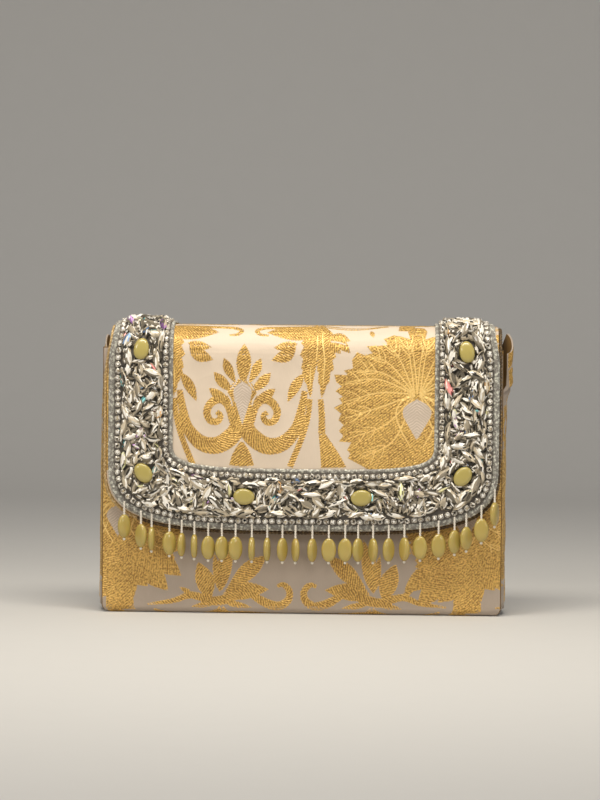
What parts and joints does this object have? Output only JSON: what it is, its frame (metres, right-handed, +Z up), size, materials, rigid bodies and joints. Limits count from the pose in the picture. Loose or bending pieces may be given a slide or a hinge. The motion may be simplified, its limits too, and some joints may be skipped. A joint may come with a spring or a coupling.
{
  "type": "beaded flap clutch bag",
  "caption": "Stiff brocade clutch with a full flap bordered in crystal, a fringe of yellow bead drops and a hidden magnetic snap.",
  "frame": {"origin": "centre of the flat base, on the surface it stands on", "axes": "+X to the right as seen from the front, -Y out of the front, +Z up"},
  "size_m": [0.2252, 0.0589, 0.1623],
  "materials": {
    "brocade": "woven brocade, cream satin ground with gold damask figure",
    "piping": "bias-covered cord in gold brocade",
    "board": "grey bag board",
    "lining": "plain gold satin",
    "silver_braid": "twisted silver thread",
    "crystal": "foil-backed cut crystal on a grey tape",
    "yellow_stone": "opaque, polished",
    "yellow_bead": "opaque, satin polished",
    "snap_metal": "gold plated",
    "magnet": "plain ferrite ring"
  },
  "bodies": {
    "bag": {"body_cover": "brocade", "front_board": "board", "back_board": "board", "base_board": "board", "lining": "lining", "gusset_left": "brocade", "gusset_right": "brocade", "snap_socket": "snap_metal", "snap_socket_washer": "snap_metal", "snap_magnet": "magnet", "snap_cap": "snap_metal"},
    "flap": {"flap_cover": "brocade", "flap_board": "board", "flap_lining": "lining", "flap_piping": "piping", "outer_braid": "silver_braid", "inner_braid": "silver_braid", "outer_stone_chain": "crystal", "inner_stone_chain": "crystal", "crystal_band": "crystal", "cabochon_left_top": "yellow_stone", "cabochon_left_corner": "yellow_stone", "cabochon_left_lower": "yellow_stone", "cabochon_right_top": "yellow_stone", "cabochon_right_corner": "yellow_stone", "cabochon_right_lower": "yellow_stone", "snap_stud": "snap_metal", "snap_stud_washer": "snap_metal"},
    "bead_drop_01": {"bead_drop_01": "yellow_bead"},
    "bead_drop_02": {"bead_drop_02": "yellow_bead"},
    "bead_drop_03": {"bead_drop_03": "yellow_bead"},
    "bead_drop_04": {"bead_drop_04": "yellow_bead"},
    "bead_drop_05": {"bead_drop_05": "yellow_bead"},
    "bead_drop_06": {"bead_drop_06": "yellow_bead"},
    "bead_drop_07": {"bead_drop_07": "yellow_bead"},
    "bead_drop_08": {"bead_drop_08": "yellow_bead"},
    "bead_drop_09": {"bead_drop_09": "yellow_bead"},
    "bead_drop_10": {"bead_drop_10": "yellow_bead"},
    "bead_drop_11": {"bead_drop_11": "yellow_bead"},
    "bead_drop_12": {"bead_drop_12": "yellow_bead"},
    "bead_drop_13": {"bead_drop_13": "yellow_bead"},
    "bead_drop_14": {"bead_drop_14": "yellow_bead"},
    "bead_drop_15": {"bead_drop_15": "yellow_bead"},
    "bead_drop_16": {"bead_drop_16": "yellow_bead"},
    "bead_drop_17": {"bead_drop_17": "yellow_bead"},
    "bead_drop_18": {"bead_drop_18": "yellow_bead"},
    "bead_drop_19": {"bead_drop_19": "yellow_bead"},
    "bead_drop_20": {"bead_drop_20": "yellow_bead"},
    "bead_drop_21": {"bead_drop_21": "yellow_bead"},
    "bead_drop_22": {"bead_drop_22": "yellow_bead"},
    "bead_drop_23": {"bead_drop_23": "yellow_bead"},
    "bead_drop_24": {"bead_drop_24": "yellow_bead"},
    "bead_drop_25": {"bead_drop_25": "yellow_bead"},
    "bead_drop_26": {"bead_drop_26": "yellow_bead"}
  },
  "joints": [
    {"name": "flap_hinge", "type": "hinge", "parent": "bag", "child": "flap", "pos_m": [0, 0.022, 0.1424], "axis": [-1, 0, 0], "range_deg": [0, 180]},
    {"name": "drop_swing_01", "type": "hinge", "parent": "flap", "child": "bead_drop_01", "pos_m": [-0.0965, -0.0331, 0.06131], "axis": [-1, 0, 0], "range_deg": [0, 90]},
    {"name": "drop_swing_02", "type": "hinge", "parent": "flap", "child": "bead_drop_02", "pos_m": [-0.0873, -0.0331, 0.05621], "axis": [-1, 0, 0], "range_deg": [0, 90]},
    {"name": "drop_swing_03", "type": "hinge", "parent": "flap", "child": "bead_drop_03", "pos_m": [-0.08149, -0.0331, 0.05469], "axis": [-1, 0, 0], "range_deg": [0, 90]},
    {"name": "drop_swing_04", "type": "hinge", "parent": "flap", "child": "bead_drop_04", "pos_m": [-0.07172, -0.0331, 0.05228], "axis": [-1, 0, 0], "range_deg": [0, 90]},
    {"name": "drop_swing_05", "type": "hinge", "parent": "flap", "child": "bead_drop_05", "pos_m": [-0.06502, -0.0331, 0.05158], "axis": [-1, 0, 0], "range_deg": [0, 90]},
    {"name": "drop_swing_06", "type": "hinge", "parent": "flap", "child": "bead_drop_06", "pos_m": [-0.05808, -0.0331, 0.05085], "axis": [-1, 0, 0], "range_deg": [0, 90]},
    {"name": "drop_swing_07", "type": "hinge", "parent": "flap", "child": "bead_drop_07", "pos_m": [-0.05049, -0.0331, 0.05006], "axis": [-1, 0, 0], "range_deg": [0, 90]},
    {"name": "drop_swing_08", "type": "hinge", "parent": "flap", "child": "bead_drop_08", "pos_m": [-0.04306, -0.0331, 0.04995], "axis": [-1, 0, 0], "range_deg": [0, 90]},
    {"name": "drop_swing_09", "type": "hinge", "parent": "flap", "child": "bead_drop_09", "pos_m": [-0.03556, -0.0331, 0.04984], "axis": [-1, 0, 0], "range_deg": [0, 90]},
    {"name": "drop_swing_10", "type": "hinge", "parent": "flap", "child": "bead_drop_10", "pos_m": [-0.02668, -0.0331, 0.04971], "axis": [-1, 0, 0], "range_deg": [0, 90]},
    {"name": "drop_swing_11", "type": "hinge", "parent": "flap", "child": "bead_drop_11", "pos_m": [-0.01828, -0.0331, 0.04958], "axis": [-1, 0, 0], "range_deg": [0, 90]},
    {"name": "drop_swing_12", "type": "hinge", "parent": "flap", "child": "bead_drop_12", "pos_m": [-0.00997, -0.0331, 0.04946], "axis": [-1, 0, 0], "range_deg": [0, 90]},
    {"name": "drop_swing_13", "type": "hinge", "parent": "flap", "child": "bead_drop_13", "pos_m": [-0.00286, -0.0331, 0.04935], "axis": [-1, 0, 0], "range_deg": [0, 90]},
    {"name": "drop_swing_14", "type": "hinge", "parent": "flap", "child": "bead_drop_14", "pos_m": [0.00634, -0.0331, 0.04938], "axis": [-1, 0, 0], "range_deg": [0, 90]},
    {"name": "drop_swing_15", "type": "hinge", "parent": "flap", "child": "bead_drop_15", "pos_m": [0.0153, -0.0331, 0.04951], "axis": [-1, 0, 0], "range_deg": [0, 90]},
    {"name": "drop_swing_16", "type": "hinge", "parent": "flap", "child": "bead_drop_16", "pos_m": [0.02426, -0.0331, 0.04965], "axis": [-1, 0, 0], "range_deg": [0, 90]},
    {"name": "drop_swing_17", "type": "hinge", "parent": "flap", "child": "bead_drop_17", "pos_m": [0.03128, -0.0331, 0.04975], "axis": [-1, 0, 0], "range_deg": [0, 90]},
    {"name": "drop_swing_18", "type": "hinge", "parent": "flap", "child": "bead_drop_18", "pos_m": [0.03943, -0.0331, 0.04987], "axis": [-1, 0, 0], "range_deg": [0, 90]},
    {"name": "drop_swing_19", "type": "hinge", "parent": "flap", "child": "bead_drop_19", "pos_m": [0.04791, -0.0331, 0.05], "axis": [-1, 0, 0], "range_deg": [0, 90]},
    {"name": "drop_swing_20", "type": "hinge", "parent": "flap", "child": "bead_drop_20", "pos_m": [0.05646, -0.0331, 0.05051], "axis": [-1, 0, 0], "range_deg": [0, 90]},
    {"name": "drop_swing_21", "type": "hinge", "parent": "flap", "child": "bead_drop_21", "pos_m": [0.06502, -0.0331, 0.05141], "axis": [-1, 0, 0], "range_deg": [0, 90]},
    {"name": "drop_swing_22", "type": "hinge", "parent": "flap", "child": "bead_drop_22", "pos_m": [0.07503, -0.0331, 0.05259], "axis": [-1, 0, 0], "range_deg": [0, 90]},
    {"name": "drop_swing_23", "type": "hinge", "parent": "flap", "child": "bead_drop_23", "pos_m": [0.08367, -0.0331, 0.05484], "axis": [-1, 0, 0], "range_deg": [0, 90]},
    {"name": "drop_swing_24", "type": "hinge", "parent": "flap", "child": "bead_drop_24", "pos_m": [0.09004, -0.0331, 0.05674], "axis": [-1, 0, 0], "range_deg": [0, 90]},
    {"name": "drop_swing_25", "type": "hinge", "parent": "flap", "child": "bead_drop_25", "pos_m": [0.0982, -0.0331, 0.06136], "axis": [-1, 0, 0], "range_deg": [0, 90]},
    {"name": "drop_swing_26", "type": "hinge", "parent": "flap", "child": "bead_drop_26", "pos_m": [0.1053, -0.0331, 0.07025], "axis": [-1, 0, 0], "range_deg": [0, 90]}
  ]
}
